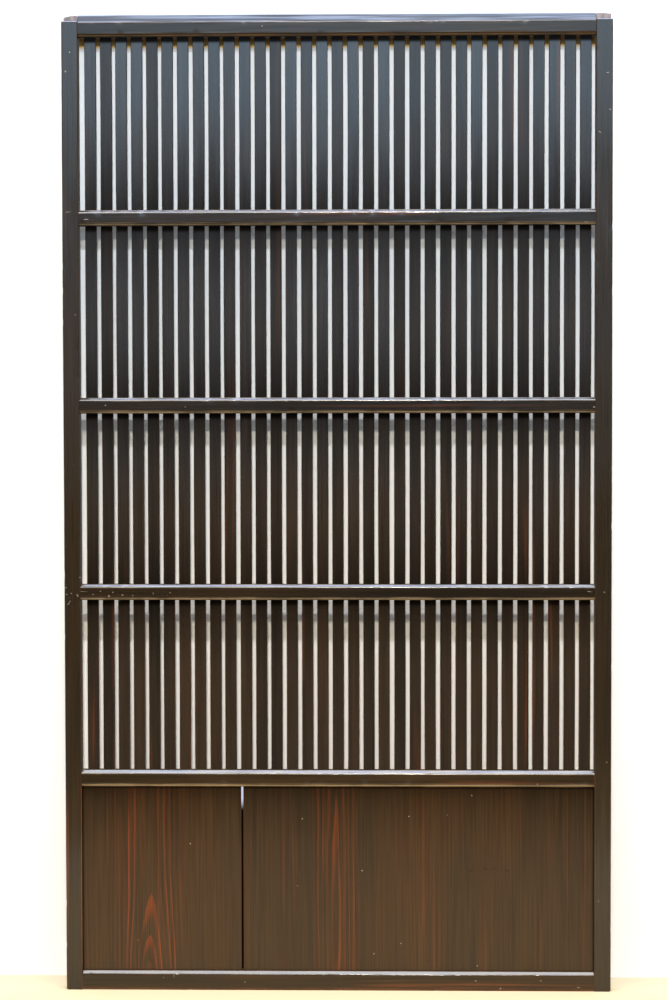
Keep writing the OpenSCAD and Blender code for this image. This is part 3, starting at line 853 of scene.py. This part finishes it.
def backdrop_paint():
    """Pale paint, seen from the front only. Behind the leaf it is tinted bluish above and warm below as
    painted light. A narrow strip behind the panel's crack is painted dark as shadow, with a painted light
    glowing at its top, and close behind the head it is painted ochre as shade warmed by the wood, deepening
    upwards.
    Elsewhere a faint painted glow lightens the shadows on it."""
    # least paints a faint white glow over the backdrop, which lightens the shadows on it
    paint, add, shown = fading_paint(
        "drop_paint", linear(236, 236, 236), centre=(0, 0, 0.9), reach=(0.62, 1, 1.1), start=0.9, end=1.7,
        least=0.065)

    def near(value, middle, reach):
        off = add("Math", value, middle, operation="SUBTRACT")
        off = add("Math", off, operation="ABSOLUTE")
        return add("Math", off, reach, operation="LESS_THAN")

    def both(a, b):
        return add("Math", a, b, operation="MULTIPLY")

    def mixed(share, a, b):
        return add("Mix", share, linear(*a), b, data_type="RGBA")

    place = add("TexCoord", out="Object")
    x = add("SeparateXYZ", place, out="X")
    z = add("SeparateXYZ", place, out="Z")
    hidden = near(x, 0.0, hidden_half)
    # Painted light: behind the leaf the backdrop is tinted bluish above and warm below
    light_tint = mixed(add("MapRange", z, *light_tint_z, 0.0, 1.0), (250, 244, 234), linear(215, 222, 229))
    light_tint = mixed(hidden, (244, 244, 242), light_tint)
    paint.node_tree.links.new(light_tint, paint.node_tree.nodes["Principled BSDF"].inputs["Base Color"])

    # Painted shadow behind the panel's crack, with a painted light glowing at its top
    painted_daylight = add("MapRange", z, *painted_daylight_z, 0.0, 1.0, interpolation_type="SMOOTHSTEP")
    crack = add("MixShader", painted_daylight, add("BsdfDiffuse", linear(24, 20, 15)),
                add("Emission", linear(206, 213, 234), 1.0))
    low = add("Math", z, crack_shade_top, operation="LESS_THAN")
    shown = add("MixShader", both(low, near(x, crack_x, crack_shade_reach)), shown, crack)

    # Painted shade behind the head, ochre as if warmed by the wood, deepening upwards
    ochre = add("MapRange", z, *ochre_shade_deepens, 0.0, 1.0)
    ochre = add("BsdfDiffuse", mixed(ochre, (215, 176, 104), linear(160, 122, 70)))
    high = add("MapRange", z, *ochre_shade_z, 0.0, 1.0, interpolation_type="SMOOTHSTEP")
    high = both(high, add("Math", z, ochre_shade_top, operation="LESS_THAN"))
    shown = add("MixShader", both(high, hidden), shown, ochre)

    behind = add("NewGeometry", out="Backfacing")
    shown = add("MixShader", behind, shown, add("BsdfTransparent"))
    paint.node_tree.links.new(shown, paint.node_tree.nodes["Material Output"].inputs["Surface"])
    return paint


backdrop = flat_mesh("backdrop", drop_corners, [[0, 1, 2, 3]])
backdrop.data.materials.append(backdrop_paint())
backdrop.visible_diffuse = backdrop.visible_glossy = False
backdrop.visible_transmission = backdrop.visible_shadow = False


def lamp(name, place, look_at, size, radiance, colour):
    """Rectangular lamp. Its power is pi times its area times the brightness that it should have."""
    light = bpy.data.lights.new(name, "AREA")
    light.shape = "RECTANGLE"
    light.size, light.size_y = size
    light.energy = radiance * np.pi * size[0] * size[1]
    light.color = colour
    holder = bpy.data.objects.new(name, light)
    holder.location = place
    holder.rotation_euler = (Vector(look_at) - Vector(place)).to_track_quat("-Z", "Y").to_euler()
    bpy.context.scene.collection.objects.link(holder)


lamp("low_key", (0.10, -7.0, 4.75), (0, 0, 0.9), (0.26, 0.40), 900.0, (1.0, 0.915, 0.74))
lamp("high_key", (0.10, -4.6, 5.27), (0, 0, 0.9), (0.30, 0.30), 780.0, (1.0, 1.015, 1.09))
lamp("cool_strip", (0.0, 0.23, 5.5), (0, 0.23, 0), (3.0, 1.7), 21.0, (0.58, 0.68, 1.0))
lamp("white_strip", (0.0, -1.57, 5.5), (0, -1.57, 0), (3.0, 1.84), 19.0, (0.98, 1.0, 1.0))
lamp("window", (0.3, -6.2, 3.06), (0, 0, 3.06), (5.0, 1.9), 3.3, (0.40, 0.70, 1.0))
lamp("sky_glow", (0.3, -6.1, 1.6), (0, 0, 1.6), (5.0, 1.0), 0.6, (0.30, 0.62, 1.0))
lamp("low_glow", (0.3, -6.1, 0.75), (0, 0, 0.75), (5.0, 0.7), 0.2, (0.30, 0.62, 1.0))

world = bpy.data.worlds.new("studio")
bpy.context.scene.world = world
world.use_nodes = True
add = wiring(world.node_tree)
sky = add("Mix", seen_by_eye(add), (dim, dim, dim, 1), (white, white, white, 1), data_type="RGBA")
world.node_tree.links.new(sky, world.node_tree.nodes["Background"].inputs["Color"])

card_paint = bpy.data.materials.new("card_paint")
card_paint.use_nodes = True
card_shader = card_paint.node_tree.nodes["Principled BSDF"]
card_shader.inputs["Base Color"].default_value = (0.08, 0.075, 0.07, 1)
card_shader.inputs["Roughness"].default_value = 0.9
card_count = 32
arc = np.linspace(np.pi, 2 * np.pi, card_count + 1)
k = np.arange(card_count)
for name, card_r, card_top in (("low_cards", 1.6, 0.85), ("far_cards", 8.0, 3.4)):
    rim = np.stack([card_r * np.cos(arc), card_r * np.sin(arc), 0 * arc], 1)
    cards = flat_mesh(name, np.concatenate([rim, rim + (0, 0, card_top)]),
                      np.stack([k, k + 1, k + card_count + 2, k + card_count + 1], 1).tolist())
    cards.data.materials.append(card_paint)
    cards.visible_camera = False

bpy.context.scene.view_settings.view_transform = "Standard"

boxes = {"cad": cad_box, "visual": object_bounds()}
{name: [list(map(float, corner)) for corner in box] for name, box in boxes.items()}
